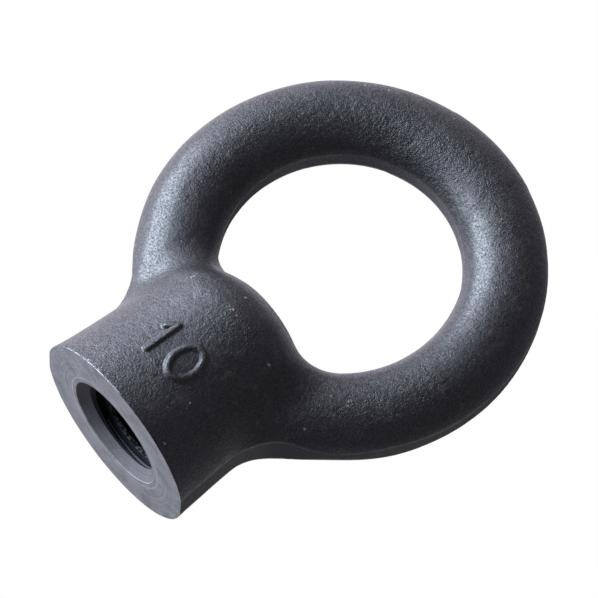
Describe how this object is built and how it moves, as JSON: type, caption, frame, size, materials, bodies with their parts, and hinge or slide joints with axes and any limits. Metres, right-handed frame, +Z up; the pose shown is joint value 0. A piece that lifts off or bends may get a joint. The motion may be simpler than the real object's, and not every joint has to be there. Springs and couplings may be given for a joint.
{
  "type": "lifting eye nut",
  "caption": "Drop-forged lifting eye nut, oval eye on a round boss with a tapped and countersunk hole, black oxide finish",
  "frame": {"origin": "centre of the turned seat face at the foot of the boss, on the axis of the tapped hole", "axes": "+Z runs up the tapped hole to the crown of the eye, +X across the eye in its plane, +Y through the eye opening, from front to back"},
  "size_m": [0.0758, 0.0378, 0.0925],
  "materials": {
    "forged_steel": "satin"
  },
  "bodies": {
    "root": {"eye_nut": "forged_steel"}
  },
  "joints": []
}
